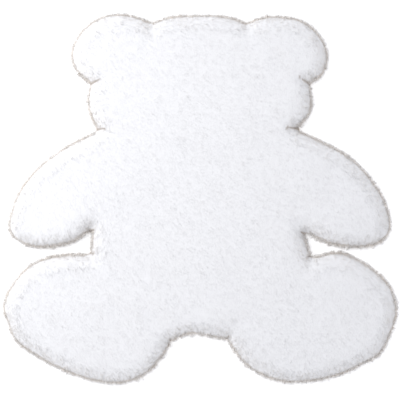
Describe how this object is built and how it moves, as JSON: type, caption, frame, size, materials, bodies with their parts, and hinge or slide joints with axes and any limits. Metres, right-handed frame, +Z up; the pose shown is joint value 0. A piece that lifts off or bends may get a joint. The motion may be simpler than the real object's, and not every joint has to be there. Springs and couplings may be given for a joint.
{
  "type": "bear shaped kids rug",
  "caption": "Flat one-piece plush fur rug in a teddy bear silhouette, with round ears, spread arms and legs, a soft rounded rim and a flat underside.",
  "frame": {"origin": "centre of the bounding box in plan, on the floor under the rug", "axes": "+X across the rug, from the left leg to the right leg as seen from above, +Y from the feet to the head, +Z up out of the pile"},
  "size_m": [0.8983, 0.8425, 0.0287],
  "materials": {
    "plush_fur": "white plush faux fur, about 25 mm pile, brushed soft, matte"
  },
  "bodies": {
    "root": {"fur_rug": "plush_fur"}
  },
  "joints": []
}
